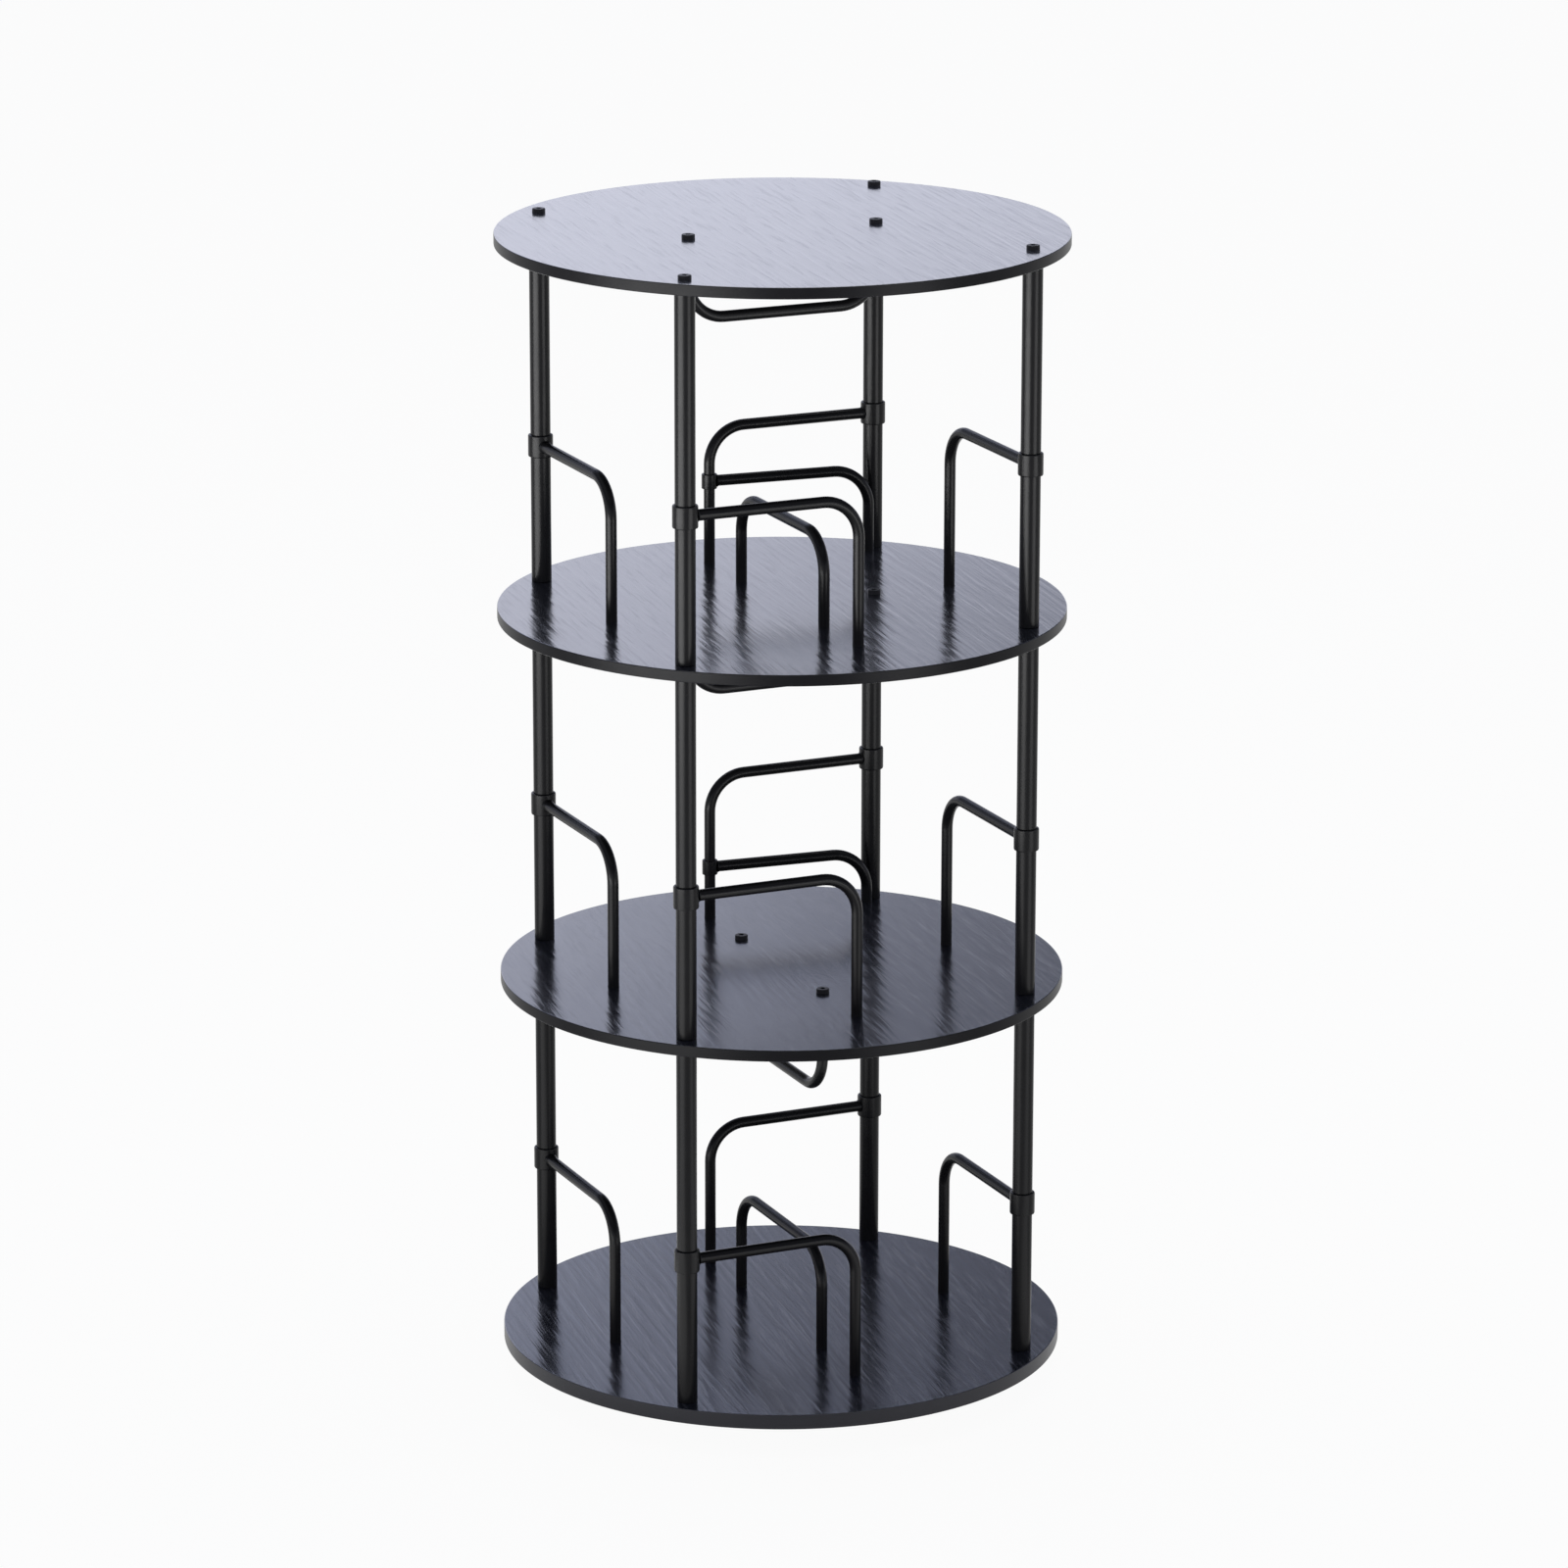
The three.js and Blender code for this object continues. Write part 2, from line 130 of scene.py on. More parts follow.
# Camera
CAMERA_DISTANCE = 5.25
CAMERA_HEIGHT = 1.9505
CAMERA_AZIMUTH = math.radians(-24.07)
CAMERA_PITCH = math.radians(15.59)
CAMERA_YAW = math.radians(-0.019)
CAMERA_ROLL = math.radians(0.089)
CAMERA_LENS = 157.25
CAMERA_SENSOR = 36

# The floor, and how much of its brightness is its own white where it is seen or mirrored
FLOOR_RADIUS = 60
FLOOR_SIDES = 96
FLOOR_GREY = 0.76
FLOOR_ROUGHNESS = 0.9
FLOOR_GLOW = 0.95

# Strengths and colours of the world: the dim room, its left part, the backdrop all round, and the ceiling
ROOM_GLOW = 0.125
LEFT_GLOW = 1.6
BACKDROP_GLOW = 1.29
CEILING_GLOW = 0.5
ROOM_COLOUR = (0.64, 0.71, 1.0)
BACKDROP_COLOUR = (0.84, 0.86, 1.0)
CEILING_COLOUR = (0.86, 0.89, 1.0)

# Where the parts of the world start and end, as lengths along up, behind the tower, or left, out of 1
BACKDROP_FADE = (0.308, 0.236)
CEILING_FADE = (0.45, 0.75)
BEHIND_FADE = (0.6, 0.9)
LEFT_FADE = (-0.06, 0.2)

# How far the backdrop's top edge is raised, from the right end of the tower to its left
RISE_SIDEWAYS = (-0.028, 0.13)
RISE_HEIGHTS = (-0.034, 0.12)

# Lamps that lie on the floor: azimuth from the camera, nearest and farthest metre, width, and radiance
LAMP_LIFT = 1 * MM
LEFT_SIDE = math.radians(-46)
RIGHT_SIDE = math.radians(47)
FLOOR_LAMPS = {
    "left_far_glow": (LEFT_SIDE, 2.45, 7.0, 3.9, 14.5),
    "left_middle_glow": (LEFT_SIDE, 1.08, 2.45, 1.4, 3.2),
    "left_near_glow": (LEFT_SIDE, 0.35, 1.08, 0.6, 2.0),
    "right_far_glow": (RIGHT_SIDE, 2.45, 7.0, 2.0, 6.0),
    "right_middle_glow": (RIGHT_SIDE, 1.08, 2.45, 0.8, 2.2),
    "right_near_glow": (RIGHT_SIDE, 0.35, 1.08, 0.4, 1.2),
}

# Large soft lamp over the tower, a little behind it
TOP_BOX_SIDE = 2.1
TOP_BOX_DISTANCE = 0.4
TOP_BOX_HEIGHT = 3.2
TOP_BOX_AIM = 0.5
TOP_BOX_GLOW = 2.0

BOARDS = ["bottom_board", "lower_shelf", "upper_shelf", "top_board"]
TIERS = ["lower", "middle", "upper"]
CORNERS = ["back_right", "back_left", "front_left", "front_right"]
RAILS = ["middle_back_rail", "upper_back_rail"]
DIVIDERS = [
    "lower_standing_divider", "lower_hanging_divider", "middle_hanging_divider",
    "upper_standing_divider", "upper_hanging_divider",
]
STEEL_NODES = [
    "bearing_lower_plate", "bearing_ball_cage", "bearing_upper_plate", "pivot_bolt", "pivot_insert",
]


# Selection and finishing

def clear_selection():
    bpy.ops.object.select_all(action="DESELECT")


def select_only(*pieces):
    """Selects the pieces and nothing else, and makes the first one active."""
    clear_selection()
    for piece in pieces:
        piece.select_set(True)
    bpy.context.view_layer.objects.active = pieces[0]


def edit(piece):
    select_only(piece)
    bpy.ops.object.mode_set(mode="EDIT")
    bpy.ops.mesh.select_mode(type="FACE")


def leave_edit():
    bpy.ops.object.mode_set(mode="OBJECT")


def pick_faces(piece, wanted):
    bpy.ops.mesh.select_all(action="DESELECT")
    shape = bmesh.from_edit_mesh(piece.data)
    for face in shape.faces:
        face.select_set(wanted(face))
    bmesh.update_edit_mesh(piece.data)


def faces_up(face):
    return face.normal.z > LEVEL_FROM


def faces_down(face):
    return face.normal.z < -LEVEL_FROM


def faces_level(face):
    return abs(face.normal.z) > LEVEL_FROM


def apply_place(piece, name):
    """Names the piece and moves its place into its mesh."""
    piece.name = name
    piece.data.name = name
    select_only(piece)
    bpy.ops.object.transform_apply(location=True, rotation=True, scale=True)
    return piece


def smooth(piece):
    """Smooth shading, with normals that follow the large faces, so that eased ends don't bend the shine."""
    select_only(piece)
    bpy.ops.object.shade_smooth_by_angle(angle=SMOOTH_BELOW)
    modifier = piece.modifiers.new("normals", "WEIGHTED_NORMAL")
    modifier.keep_sharp = True
    bpy.ops.object.modifier_apply(modifier="normals")


def copy_of(piece, name, move=(0, 0, 0), turn=None):
    """A second piece with its own mesh, in which the move and the turn are applied."""
    twin = piece.copy()
    twin.data = piece.data.copy()
    twin.name = name
    twin.data.name = name
    bpy.context.scene.collection.objects.link(twin)
    twin.data.transform(Matrix.Translation(move) @ (turn or Matrix.Identity(4)))
    return twin


def finish_piece(piece, node, body, material):
    """Gives the piece its material, and puts it in the node's place on the body that carries it."""
    piece.data.materials.clear()
    piece.data.materials.append(material)
    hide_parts(node)
    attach(piece, body)


# Shapes

def cylinder(name, radius, bottom, top, place=(0, 0), sides=TUBE_SIDES):
    clear_selection()
    middle = (place[0], place[1], (bottom + top) / 2)
    bpy.ops.mesh.primitive_cylinder_add(vertices=sides, radius=radius, depth=top - bottom, location=middle)
    return apply_place(bpy.context.object, name)


def ease_rims(piece, ease, steps, wanted=faces_level):
    """Rounds the edges round the picked flat faces."""
    edit(piece)
    pick_faces(piece, wanted)
    bpy.ops.mesh.region_to_loop()
    bpy.ops.mesh.bevel(offset=ease, segments=steps, affect="EDGES")
    leave_edit()


def stepped_end(piece, wanted, rim, rise):
    """Insets the picked end face by rim, and moves the inner face up by rise."""
    edit(piece)
    pick_faces(piece, wanted)
    bpy.ops.mesh.inset(thickness=rim)
    bpy.ops.mesh.extrude_region_move(TRANSFORM_OT_translate={"value": (0, 0, rise)})
    leave_edit()


def cut_away(piece, cutters):
    """Cuts all the cutters out of the piece and deletes them."""
    select_only(*cutters)
    if len(cutters) > 1:
        bpy.ops.object.join()
    cutter = bpy.context.object
    select_only(piece)
    modifier = piece.modifiers.new("cut", "BOOLEAN")
    modifier.object = cutter
    modifier.solver = "EXACT"
    bpy.ops.object.modifier_apply(modifier="cut")
    bpy.data.objects.remove(cutter)


def bent_rod(name, corners, weld=False):
    """A round rod drawn out of a disc along straight runs, with a quarter bend at each inner corner."""
    headings = [(after - before).normalized() for before, after in zip(corners, corners[1:])]
    clear_selection()
    bpy.ops.mesh.primitive_circle_add(
        vertices=ROD_SIDES, radius=ROD_RADIUS, fill_type="NGON", location=corners[0],
        rotation=headings[0].to_track_quat("Z", "Y").to_euler(),
    )
    rod = bpy.context.object
    edit(rod)
    bpy.ops.mesh.select_all(action="SELECT")
    here = corners[0].copy()
    if weld:
        squeeze = ROD_RADIUS / (ROD_RADIUS + WELD_WIDTH)
        bpy.ops.transform.resize(value=(1 / squeeze,) * 3)
        bpy.ops.mesh.extrude_region_move(TRANSFORM_OT_translate={"value": headings[0] * WELD_LENGTH})
        bpy.ops.transform.resize(value=(squeeze,) * 3)
        here += headings[0] * WELD_LENGTH
    for corner, inward, outward in zip(corners[1:], headings, headings[1:]):
        start = corner - inward * BEND_RADIUS
        bpy.ops.mesh.extrude_region_move(TRANSFORM_OT_translate={"value": start - here})
        bpy.ops.mesh.spin(
            steps=BEND_STEPS, angle=QUARTER, center=start + outward * BEND_RADIUS,
            axis=outward.cross(inward),
        )
        here = corner + outward * BEND_RADIUS
    bpy.ops.mesh.extrude_region_move(TRANSFORM_OT_translate={"value": corners[-1] - here})
    bpy.ops.mesh.select_all(action="SELECT")
    bpy.ops.mesh.remove_doubles(threshold=MERGE_BELOW)
    bpy.ops.mesh.normals_make_consistent(inside=False)
    leave_edit()
    return apply_place(rod, name)


def join(pieces, name):
    select_only(*pieces)
    bpy.ops.object.join()
    return apply_place(bpy.context.object, name)


# Shader building blocks

def add_node(tree, kind, inputs=None, **settings):
    node = tree.nodes.new("ShaderNode" + kind)
    for key, value in settings.items():
        setattr(node, key, value)
    for socket, value in (inputs or {}).items():
        if isinstance(value, bpy.types.NodeSocket):
            tree.links.new(value, node.inputs[socket])
        else:
            node.inputs[socket].default_value = value
    return node


def new_group(name, inputs, outputs):
    """A node group with named sockets. Returns it with its input sockets and a way to set its outputs."""
    tree = bpy.data.node_groups.new(name, "ShaderNodeTree")
    for socket, kind in inputs.items():
        tree.interface.new_socket(name=socket, in_out="INPUT", socket_type="NodeSocket" + kind)
    for socket, kind in outputs.items():
        tree.interface.new_socket(name=socket, in_out="OUTPUT", socket_type="NodeSocket" + kind)
    inside = tree.nodes.new("NodeGroupInput")
    outside = tree.nodes.new("NodeGroupOutput")

    def give(socket, value):
        tree.links.new(value, outside.inputs[socket])

    return tree, inside.outputs, give


def orange_peel_group():
    """Fine pimples of a sprayed or baked coat, and a faint larger unevenness."""
    tree, given, give = new_group(
        "orange_peel", {"Place": "Vector", "Grain": "Float"}, {"Height": "Float", "Unevenness": "Float"},
    )
    scale = add_node(tree, "Math", {0: 1.0, 1: given["Grain"]}, operation="DIVIDE")
    fine = add_node(tree, "TexNoise", {"Vector": given["Place"], "Scale": scale.outputs[0], "Detail": 2.0})
    broad = add_node(tree, "TexNoise", {"Vector": given["Place"], "Scale": UNEVENNESS, "Detail": 2.0})
    give("Height", fine.outputs["Fac"])
    give("Unevenness", broad.outputs["Fac"])
    return tree


PEEL_GROUP = orange_peel_group()


def new_material(name, **shader_values):
    """A material with its Principled shader set, and its place on the object."""
    material = bpy.data.materials.new(name)
    material.use_nodes = True
    tree = material.node_tree
    shader = tree.nodes["Principled BSDF"]
    for socket, value in shader_values.items():
        shader.inputs[socket.replace("_", " ")].default_value = value
    place = tree.nodes.new("ShaderNodeTexCoord").outputs["Object"]
    return material, tree, shader, place


def ramp(tree, value, low, high):
    """Turns a 0 to 1 value into one between low and high."""
    node = add_node(tree, "MapRange", {"Value": value, "To Min": low, "To Max": high})
    return node.outputs["Result"]


def smooth_step(tree, value, start, end):
    """Turns a value into a mask that goes softly from 0 at start to 1 at end."""
    node = add_node(tree, "MapRange", {"Value": value, "From Min": start, "From Max": end},
                    interpolation_type="SMOOTHSTEP")
    return node.outputs["Result"]


def product(tree, first, second):
    return add_node(tree, "Math", {0: first, 1: second}, operation="MULTIPLY").outputs[0]


def blend(tree, share, first, second):
    """The first number where the share is 0, and the second where it is 1."""
    node = add_node(tree, "Mix", {"Factor": share, "A": first, "B": second}, data_type="FLOAT")
    return node.outputs["Result"]


def tint(tree, value, dark, light):
    """The dark colour where the value is 0, and the light one where it is 1."""
    node = add_node(tree, "Mix", {"Factor": value, "A": (*dark, 1), "B": (*light, 1)}, data_type="RGBA")
    return node.outputs["Result"]


def grain_place(tree, place):
    """The place on the board in strokes along the grain and spacings across it."""
    turned = add_node(tree, "VectorRotate", {"Vector": place, "Rotation": (0, 0, GRAIN_HEADING)},
                      rotation_type="EULER_XYZ")
    strokes = (1 / GRAIN_SPACING, 1 / GRAIN_STROKE, 1 / GRAIN_LAYER)
    return add_node(tree, "VectorMath", {0: turned.outputs[0], 1: strokes}, operation="MULTIPLY").outputs[0]


def grain_noise(tree, strokes, coarseness, low, high):
    """Strokes as a 0 to 1 mask. A coarseness of 1 is the fine grain, and more is broader."""
    scaled = add_node(tree, "VectorMath", {0: strokes, "Scale": 1 / coarseness}, operation="SCALE")
    noise = add_node(tree, "TexNoise", {
        "Vector": scaled.outputs[0], "Scale": 1.0, "Detail": 1.0, "Roughness": 0.5,
    })
    return smooth_step(tree, noise.outputs["Fac"], low, high)


def laminate():
    """Black laminate with a glossy face, pressed with fine straight matt pores and faint ridges."""
    material, tree, shader, place = new_material(
        "board_laminate", IOR=1.5, Coat_Roughness=0.17, Coat_IOR=1.5,
    )
    strokes = grain_place(tree, place)
    pores = grain_noise(tree, strokes, 1.0, *PORE_RANGE)
    ridges = grain_noise(tree, strokes, RIDGE_COARSENESS, *RIDGE_RANGE)
    height = add_node(tree, "Math", {0: pores, 1: -PORE_DEPTH, 2: ridges}, operation="MULTIPLY_ADD")
    bump = add_node(tree, "Bump", {"Strength": 1.0, "Distance": EMBOSS_DEPTH, "Height": height.outputs[0]})
    tree.links.new(bump.outputs["Normal"], shader.inputs["Normal"])
    tree.links.new(bump.outputs["Normal"], shader.inputs["Coat Normal"])
    tree.links.new(ramp(tree, pores, low=1.0, high=0.97), shader.inputs["Coat Weight"])
    tree.links.new(ramp(tree, pores, low=0.19, high=0.27), shader.inputs["Roughness"])
    colour = tint(tree, pores, dark=(0.007, 0.0085, 0.015), light=(0.032, 0.035, 0.045))
    tree.links.new(colour, shader.inputs["Base Color"])
    return material


def orange_peel_coat(name, dark, light, roughness, grain, strength, depth, **shader_values):
    """A coat with fine pimples, whose roughness and colour change with its faint unevenness."""
    material, tree, shader, place = new_material(name, **shader_values)
    peel = add_node(tree, "Group", node_tree=PEEL_GROUP)
    tree.links.new(place, peel.inputs["Place"])
    peel.inputs["Grain"].default_value = grain
    pimples = {"Strength": strength, "Distance": depth, "Height": peel.outputs["Height"]}
    tree.links.new(add_node(tree, "Bump", pimples).outputs["Normal"], shader.inputs["Normal"])
    tree.links.new(ramp(tree, peel.outputs["Unevenness"], *roughness), shader.inputs["Roughness"])
    tree.links.new(tint(tree, peel.outputs["Unevenness"], dark, light), shader.inputs["Base Color"])
    return material


def edge_band(name, index, dark, light):
    """Satin black plastic band on a board's rim. A higher index makes it shinier."""
    return orange_peel_coat(
        name, dark, light, roughness=(0.3, 0.38),
        grain=1.2 * MM, strength=0.5, depth=0.02 * MM, IOR=index,
    )


def black_coat():
    """Satin black powder coat on the tubes and rods."""
    return orange_peel_coat(
        "black_coat", dark=(0.004, 0.004, 0.0045), light=(0.007, 0.007, 0.0075), roughness=(0.21, 0.3),
        grain=0.8 * MM, strength=0.5, depth=0.02 * MM, IOR=1.22,
    )


def black_screw():
    """Blackened steel, a little oily."""
    return orange_peel_coat(
        "black_screw", dark=(0.010, 0.010, 0.011), light=(0.022, 0.022, 0.024), roughness=(0.3, 0.48),
        grain=0.5 * MM, strength=0.4, depth=0.02 * MM, Metallic=0.7,
    )


def base_board():
    """Board painted matt black with a roller, which leaves a coarser peel."""
    return orange_peel_coat(
        "base_board", dark=(0.012, 0.012, 0.013), light=(0.02, 0.02, 0.022), roughness=(0.5, 0.68),
        grain=1.6 * MM, strength=0.6, depth=0.08 * MM, IOR=1.5,
    )


def zinc_steel():
    """Zinc-plated steel with a faint spangle."""
    material, tree, shader, place = new_material("zinc_steel", Metallic=1.0)
    spangle = add_node(tree, "TexVoronoi", {"Vector": place, "Scale": SPANGLES}).outputs["Distance"]
    tree.links.new(ramp(tree, spangle, low=0.26, high=0.46), shader.inputs["Roughness"])
    colour = tint(tree, spangle, dark=(0.42, 0.43, 0.45), light=(0.62, 0.63, 0.65))
    tree.links.new(colour, shader.inputs["Base Color"])
    return material


def foam_rubber():
    """Matt closed-cell rubber."""
    material, tree, shader, place = new_material("rubber", IOR=1.45)
    cells = add_node(tree, "TexVoronoi", {"Vector": place, "Scale": FOAM_CELLS}).outputs["Distance"]
    bump = add_node(tree, "Bump", {"Strength": 0.7, "Distance": 0.15 * MM, "Height": cells})
    tree.links.new(bump.outputs["Normal"], shader.inputs["Normal"])
    tree.links.new(ramp(tree, cells, low=0.75, high=0.95), shader.inputs["Roughness"])
    colour = tint(tree, cells, dark=(0.014, 0.014, 0.014), light=(0.026, 0.026, 0.026))
    tree.links.new(colour, shader.inputs["Base Color"])
    return material


# The bottom board's band is a little shinier than that of the others, and its colour is painted paler as
# painted light from the lit floor below it
FINISHES = {
    "board_laminate": laminate(),
    "edge_band": edge_band(
        "edge_band", index=1.18, dark=(0.003, 0.003, 0.004), light=(0.005, 0.005, 0.006),
    ),
    "bottom_band_painted_lit": edge_band(
        "bottom_band_painted_lit", index=1.33, dark=(0.016, 0.016, 0.02), light=(0.021, 0.021, 0.026),
    ),
    "black_coat": black_coat(),
    "black_screw": black_screw(),
    "zinc_steel": zinc_steel(),
    "base_board": base_board(),
    "rubber": foam_rubber(),
}


# Boards

def centre_of(node):
    low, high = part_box(node)
    return (low.x + high.x) / 2, (low.y + high.y) / 2


def hole_cutter(place, radius, bottom, top):
    return cylinder("cutter", radius, bottom, top, place, HOLE_SIDES)


def board_cutters(low, high):
    """The holes for the studs and screws that pass the board, and the blind seats of the rods in it."""
    bottom, top = low.z - OVERRUN, high.z + OVERRUN
    posts = [f"upper_post_{corner}" for corner in CORNERS]
    cutters = [hole_cutter(centre_of(post), STUD_RADIUS + SLIP, bottom, top) for post in posts]
    for divider in DIVIDERS:
        foot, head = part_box(divider)
        if abs(foot.z - high.z) < SAME_LEVEL or abs(head.z - low.z) < SAME_LEVEL:
            for screw in (1, 2):
                place = centre_of(f"{divider}_screw_{screw}")
                cutters.append(hole_cutter(place, DIVIDER_SCREW_RADIUS + SLIP, bottom, top))
    rods = [f"{tier}_arm_{corner}" for tier in TIERS for corner in CORNERS] + RAILS
    for rod in rods:
        foot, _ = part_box(rod)
        if low.z < foot.z < high.z:
            cutters.append(hole_cutter(leg_place(rod), ROD_RADIUS + SLIP, high.z - SEAT_DEPTH, top))
    return cutters


def leg_place(rod):
    """Where a rod's leg stands: the middle of its lowest points."""
    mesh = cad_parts[rod].data
    foot = min(vertex.co.z for vertex in mesh.vertices)
    low_points = [vertex.co for vertex in mesh.vertices if vertex.co.z < foot + SAME_LEVEL]
    xs = [point.x for point in low_points]
    ys = [point.y for point in low_points]
    return (min(xs) + max(xs)) / 2, (min(ys) + max(ys)) / 2


def make_boards():
    """Each board's face in laminate, with a band as the second material on the faces of its rim."""
    for board in BOARDS:
        low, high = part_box(board)
        piece = cylinder(f"{board}_face", high.x, low.z, high.z, sides=BOARD_SIDES)
        ease_rims(piece, RIM_EASE, RIM_EASE_STEPS)
        cut_away(piece, board_cutters(low, high))
        smooth(piece)
        finish_piece(piece, board, "tower", FINISHES["board_laminate"])
        # The bottom board's rim gets the band whose colour is painted paler, as painted light from the
        # floor
        band = "bottom_band_painted_lit" if board == "bottom_board" else "edge_band"
        piece.data.materials.append(FINISHES[band])
        for face in piece.data.polygons:
            on_rim = face.center.xy.length > high.x - RIM_EASE
            face.material_index = 1 if on_rim and abs(face.normal.z) < RIM_BELOW else 0


# Posts

def make_posts():
    """One tube for the top tier, and one with a stud on its upper end for the tiers below."""
    low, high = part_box("upper_post_back_right")
    radius = (high.x - low.x) / 2
    length = high.z - low.z
    rim = radius - POST_RIM_EASE - STUD_RADIUS

    def upper_end(face):
        return faces_up(face) and face.calc_center_median().z > length - SAME_LEVEL

    plain = cylinder("post", radius, 0, length)
    ease_rims(plain, POST_RIM_EASE, POST_EASE_STEPS)
    stepped_end(plain, faces_down, rim, TAPPED_DEPTH)
    studded = copy_of(plain, "post_with_stud")
    stepped_end(plain, upper_end, rim, -TAPPED_DEPTH)
    _, stud_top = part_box("lower_post_back_right")
    shelf_underside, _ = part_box("lower_shelf")
    stepped_end(studded, upper_end, rim, stud_top.z - shelf_underside.z)
    smooth(plain)
    smooth(studded)
    for tier in TIERS:
        model = plain if tier == "upper" else studded
        for corner in CORNERS:
            node = f"{tier}_post_{corner}"
            x, y = centre_of(node)
            tube = copy_of(model, f"{node}_tube", (x, y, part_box(node)[0].z))
            finish_piece(tube, node, "tower", FINISHES["black_coat"])
    bpy.data.objects.remove(plain)
    bpy.data.objects.remove(studded)


# Rods

def collar(name, place, height, inner, outer, length, ease):
    """A sleeve with eased rims and a round bore, centred on the height."""
    sleeve = cylinder(name, outer, height - length / 2, height + length / 2, place)
    ease_rims(sleeve, ease, COLLAR_EASE_STEPS)
    edit(sleeve)
    pick_faces(sleeve, lambda face: abs(face.normal.z) > FLAT_FROM)
    bpy.ops.mesh.inset(thickness=outer - ease - inner)
    bpy.ops.mesh.bridge_edge_loops()
    leave_edit()
    return sleeve


def rod_on_collar(node, centre, inner, outer, collar_length, collar_ease):
    """A rod from its weld on a collar round the centre, level and then down into the board."""
    low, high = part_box(node)
    height = high.z - collar_length / 2
    middle = Vector((*centre, 0))
    leg = Vector((*leg_place(node), 0))
    out = (leg - middle).normalized()
    start = middle + out * (outer - WELD_OVERLAP) + UP * height
    rod = bent_rod(f"{node}_bend", [start, leg + UP * height, leg + UP * low.z], weld=True)
    ring = collar(f"{node}_collar", centre, height, inner, outer, collar_length, collar_ease)
    piece = join([rod, ring], f"{node}_rod")
    smooth(piece)
    finish_piece(piece, node, "tower", FINISHES["black_coat"])


def make_arms():
    """Each arm's collar fits round its post. Across the rod, the arm's box is as wide as the collar."""
    post_low, post_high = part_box("upper_post_back_right")
    inner = (post_high.x - post_low.x) / 2 + COLLAR_SLIP
    for tier in TIERS:
        for corner in CORNERS:
            node = f"{tier}_arm_{corner}"
            low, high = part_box(node)
            outer = min(high.x - low.x, high.y - low.y) / 2
            post = centre_of(f"{tier}_post_{corner}")
            rod_on_collar(node, post, inner, outer, COLLAR_LENGTH, COLLAR_EASE)


def make_rails():
    """Each rail's small collar fits round the leg of its tier's back right arm."""
    inner = ROD_RADIUS + COLLAR_SLIP
    for node in RAILS:
        tier = node.split("_")[0]
        arm_leg = leg_place(f"{tier}_arm_back_right")
        outer = arm_leg[0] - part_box(node)[0].x
        rod_on_collar(node, arm_leg, inner, outer, SMALL_COLLAR_LENGTH, SMALL_COLLAR_EASE)


def make_dividers():
    """Rods bent to a U that stand on a board or hang below one, each end drilled for its screw."""
    for node in DIVIDERS:
        low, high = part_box(node)
        hangs = "hanging" in node
        foot, crown = (high.z, low.z + ROD_RADIUS) if hangs else (low.z, high.z - ROD_RADIUS)
        along = Vector((1, 0, 0)) if high.x - low.x > high.y - low.y else Vector((0, 1, 0))
        ends = [-along * DIVIDER_SPAN / 2, along * DIVIDER_SPAN / 2]
        corners = [ends[0] + UP * foot, ends[0] + UP * crown, ends[1] + UP * crown, ends[1] + UP * foot]
        rod = bent_rod(f"{node}_rod", corners)
        reach = -DIVIDER_SCREW_REACH if hangs else DIVIDER_SCREW_REACH
        bottom, top = min(foot - OVERRUN, foot + reach), max(foot + OVERRUN, foot + reach)
        cut_away(rod, [hole_cutter(end.xy, DIVIDER_SCREW_RADIUS + SLIP, bottom, top) for end in ends])
        smooth(rod)
        finish_piece(rod, node, "tower", FINISHES["black_coat"])


# Screws

def cap_screw(name, head_radius, shank_radius, shank_length):
    """Low head on the level face at 0, hexagon socket in its top, shank down."""
    screw = cylinder(name, head_radius, 0, HEAD_HEIGHT)
    ease_rims(screw, HEAD_EASE, HEAD_EASE_STEPS, faces_up)
    stepped_end(screw, faces_down, head_radius - shank_radius, -shank_length)
    socket = cylinder(
        "cutter", SOCKET_RADIUS, HEAD_HEIGHT - SOCKET_DEPTH, HEAD_HEIGHT + OVERRUN, sides=SOCKET_SIDES,
    )
    cut_away(screw, [socket])
    smooth(screw)
    return screw


def make_screws():
    """One model for each shank, copied to its places. Those below a board are upside down."""
    models = {}
    nodes = [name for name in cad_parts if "_screw_" in name]
    for node in nodes:
        low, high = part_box(node)
        upside_down = node.startswith("bottom_post") or "standing" in node
        shank_length = high.z - low.z - HEAD_HEIGHT
        shank_radius = DIVIDER_SCREW_RADIUS if "divider" in node else STUD_RADIUS
        key = (round(shank_length / MM, 2), shank_radius)
        if key not in models:
            name = f"cap_screw_{len(models)}"
            models[key] = cap_screw(name, (high.x - low.x) / 2, shank_radius, shank_length)
        x, y = centre_of(node)
        face = low.z + HEAD_HEIGHT if upside_down else high.z - HEAD_HEIGHT
        turn = Matrix.Rotation(math.pi, 4, "X") if upside_down else None
        screw = copy_of(models[key], f"{node}_steel", (x, y, face), turn)
        finish_piece(screw, node, "tower", FINISHES["black_screw"])
    for model in models.values():
        bpy.data.objects.remove(model)


# Base

def make_pad():
    low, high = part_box("base_pad")
    pad = cylinder("base_pad_foam", high.x, low.z, high.z, sides=BOARD_SIDES)
    ease_rims(pad, PAD_EASE, BASE_EASE_STEPS)
    smooth(pad)
    finish_piece(pad, "base_pad", "base", FINISHES["rubber"])


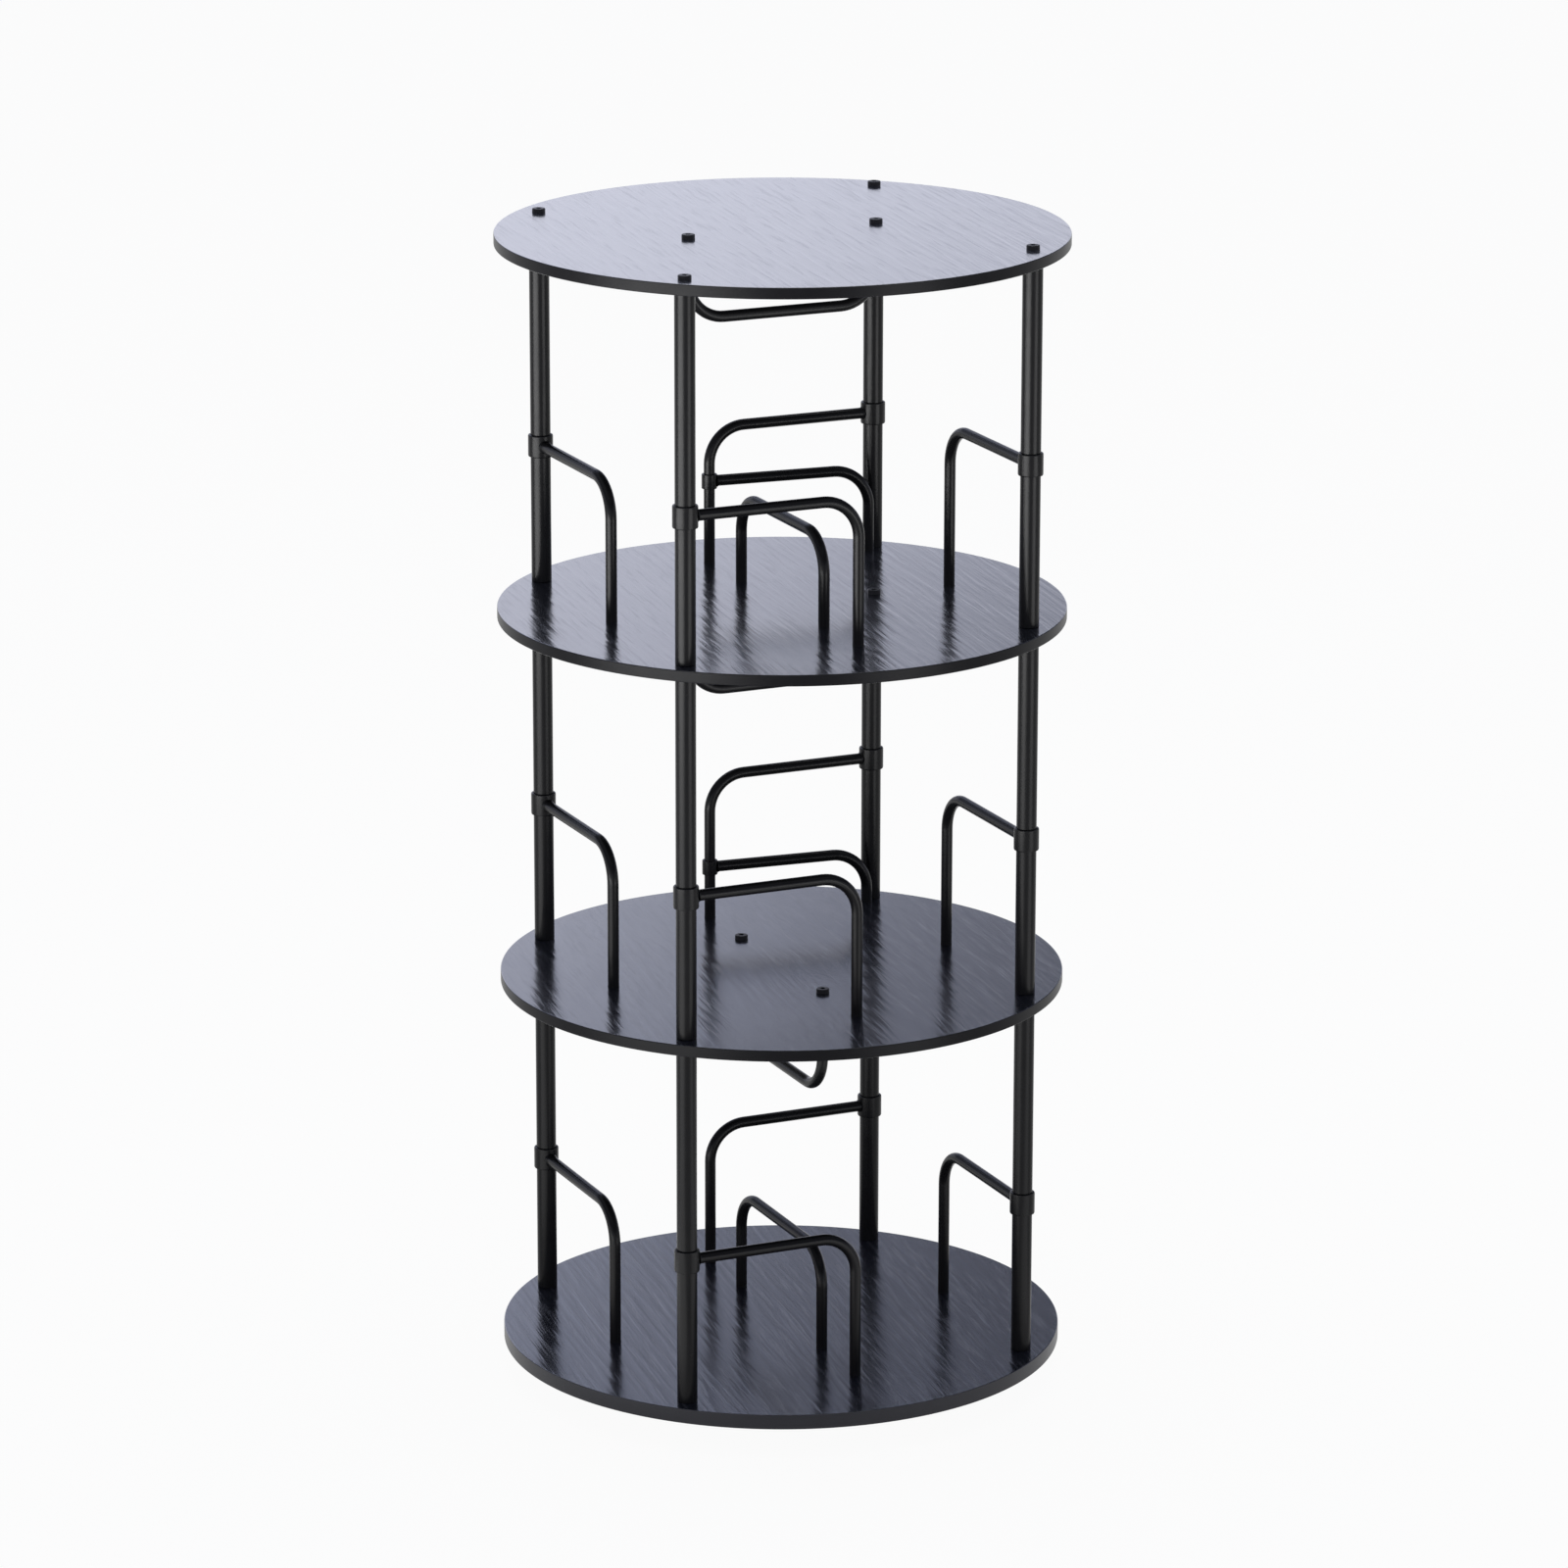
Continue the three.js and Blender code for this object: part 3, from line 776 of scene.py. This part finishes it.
def make_disc():
    """The base's disc, with the pivot bolt's hole and the seat of the bolt's head in its underside."""
    low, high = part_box("base_disc")
    bolt_low, bolt_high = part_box("pivot_bolt")
    disc = cylinder("base_disc_board", high.x, low.z, high.z, sides=BOARD_SIDES)
    ease_rims(disc, RIM_EASE, BASE_EASE_STEPS)
    head_radius = (bolt_high.x - bolt_low.x) / 2 + SLIP
    cut_away(disc, [
        hole_cutter((0, 0), PIVOT_BOLT_RADIUS + SLIP, low.z - OVERRUN, high.z + OVERRUN),
        hole_cutter((0, 0), head_radius, low.z - OVERRUN, bolt_low.z + PIVOT_HEAD_DEPTH + SLIP),
    ])
    smooth(disc)
    finish_piece(disc, "base_disc", "base", FINISHES["base_board"])


def finish_steel_parts():
    """The bearing, the pivot bolt and its insert keep their solids and get their steel."""
    for node in STEEL_NODES:
        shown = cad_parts[node]
        shown.data.materials.clear()
        shown.data.materials.append(FINISHES["zinc_steel"])


# Camera, floor and light

def round_tower(azimuth, distance, height):
    """A place at the distance and height, on the camera's side or turned from there by the azimuth."""
    turn = CAMERA_AZIMUTH + azimuth
    return math.sin(turn) * distance, -math.cos(turn) * distance, height


def place_camera():
    camera = bpy.data.objects.new("camera", bpy.data.cameras.new("camera"))
    bpy.context.scene.collection.objects.link(camera)
    camera.data.lens = CAMERA_LENS
    camera.data.sensor_width = CAMERA_SENSOR
    camera.location = round_tower(0, CAMERA_DISTANCE, CAMERA_HEIGHT)
    turned = Matrix.Rotation(CAMERA_AZIMUTH + CAMERA_YAW, 4, "Z")
    lowered = Matrix.Rotation(QUARTER - CAMERA_PITCH, 4, "X")
    rolled = Matrix.Rotation(CAMERA_ROLL, 4, "Z")
    camera.rotation_euler = (turned @ lowered @ rolled).to_euler()
    bpy.context.scene.camera = camera


def make_floor():
    """Pale floor that takes shadows. Seen or mirrored it is nearly white, and from beneath it is clear."""
    clear_selection()
    bpy.ops.mesh.primitive_circle_add(vertices=FLOOR_SIDES, radius=FLOOR_RADIUS, fill_type="NGON")
    floor = apply_place(bpy.context.object, "floor")
    material, tree, shader, _ = new_material("pale_floor", Roughness=FLOOR_ROUGHNESS)
    shader.inputs["Base Color"].default_value = (FLOOR_GREY, FLOOR_GREY, FLOOR_GREY, 1)
    shader.inputs["Specular IOR Level"].default_value = 0.0
    path = add_node(tree, "LightPath")
    seen = add_node(tree, "Math", {0: path.outputs["Is Camera Ray"], 1: path.outputs["Is Glossy Ray"]},
                    operation="ADD")
    seen = add_node(tree, "Math", {0: seen.outputs[0], 1: path.outputs["Is Transmission Ray"]},
                    operation="ADD", use_clamp=True)
    share = product(tree, seen.outputs[0], FLOOR_GLOW)
    white = add_node(tree, "Emission", {"Color": (1, 1, 1, 1), "Strength": 1.0})
    both = add_node(tree, "MixShader", {0: share, 1: shader.outputs[0], 2: white.outputs[0]})
    beneath = add_node(tree, "NewGeometry").outputs["Backfacing"]
    clear = add_node(tree, "BsdfTransparent")
    seen_from_above = add_node(tree, "MixShader", {0: beneath, 1: both.outputs[0], 2: clear.outputs[0]})
    tree.links.new(seen_from_above.outputs[0], tree.nodes["Material Output"].inputs["Surface"])
    floor.data.materials.append(material)


def area_lamp(name, width, length, brightness):
    """A lamp that the camera doesn't see. Its brightness is its radiance, and 1 is white."""
    data = bpy.data.lights.new(name, "AREA")
    data.shape = "RECTANGLE"
    data.size = width
    data.size_y = length
    data.energy = brightness * math.pi * width * length
    lamp = bpy.data.objects.new(name, data)
    bpy.context.scene.collection.objects.link(lamp)
    lamp.visible_camera = False
    return lamp


def floor_lamp(name, azimuth, near, far, width, brightness):
    """A lamp that lies on the floor and shines up. Only upright faces and undersides reflect it."""
    lamp = area_lamp(name, width, far - near, brightness)
    lamp.location = round_tower(azimuth, (near + far) / 2, LAMP_LIFT)
    lamp.rotation_euler = (math.pi, 0, CAMERA_AZIMUTH + azimuth)


def top_box():
    lamp = area_lamp("top_box", TOP_BOX_SIDE, TOP_BOX_SIDE, TOP_BOX_GLOW)
    lamp.location = round_tower(math.pi, TOP_BOX_DISTANCE, TOP_BOX_HEIGHT)
    aim = Vector((0, 0, TOP_BOX_AIM)) - lamp.location
    lamp.rotation_euler = aim.to_track_quat("-Z", "Y").to_euler()


def light_world(world):
    """A dim room with a backdrop that glows all round, and reaches higher behind the tower on the left."""
    world.use_nodes = True
    tree = world.node_tree
    background = tree.nodes["Background"]
    sky = tree.nodes.new("ShaderNodeTexCoord").outputs["Generated"]
    behind = Vector((-math.sin(CAMERA_AZIMUTH), math.cos(CAMERA_AZIMUTH), 0))
    left = Vector((-behind.y, behind.x, 0))
    height = add_node(tree, "SeparateXYZ", {"Vector": sky}).outputs["Z"]
    sideways = add_node(tree, "VectorMath", {0: sky, 1: left}, operation="DOT_PRODUCT").outputs["Value"]
    facing = add_node(tree, "VectorMath", {0: sky, 1: behind}, operation="DOT_PRODUCT").outputs["Value"]
    ahead = smooth_step(tree, facing, *BEHIND_FADE)
    rise = add_node(tree, "MapRange", {
        "Value": sideways, "From Min": RISE_SIDEWAYS[0], "From Max": RISE_SIDEWAYS[1],
        "To Min": RISE_HEIGHTS[0], "To Max": RISE_HEIGHTS[1],
    }).outputs["Result"]
    rise = product(tree, rise, ahead)
    level = add_node(tree, "Math", {0: height, 1: rise}, operation="SUBTRACT").outputs[0]
    share = smooth_step(tree, level, *BACKDROP_FADE)
    ceiling = smooth_step(tree, height, *CEILING_FADE)
    on_left = product(tree, smooth_step(tree, sideways, *LEFT_FADE), ahead)
    room = blend(tree, ceiling, ramp(tree, on_left, ROOM_GLOW, LEFT_GLOW), CEILING_GLOW)
    glow = blend(tree, share, room, BACKDROP_GLOW)
    room_colour = tint(tree, ceiling, ROOM_COLOUR, CEILING_COLOUR)
    colour = add_node(tree, "Mix", {"Factor": share, "A": room_colour, "B": (*BACKDROP_COLOUR, 1)},
                      data_type="RGBA").outputs["Result"]
    tree.links.new(colour, background.inputs["Color"])
    tree.links.new(glow, background.inputs["Strength"])


def light_scene():
    scene = bpy.context.scene
    scene.view_settings.view_transform = "Standard"
    scene.world = bpy.data.worlds.new("studio")
    light_world(scene.world)
    for name, row in FLOOR_LAMPS.items():
        floor_lamp(name, *row)
    top_box()


place_camera()
make_boards()
make_posts()
make_arms()
make_rails()
make_dividers()
make_screws()
make_pad()
make_disc()
finish_steel_parts()
make_floor()
light_scene()
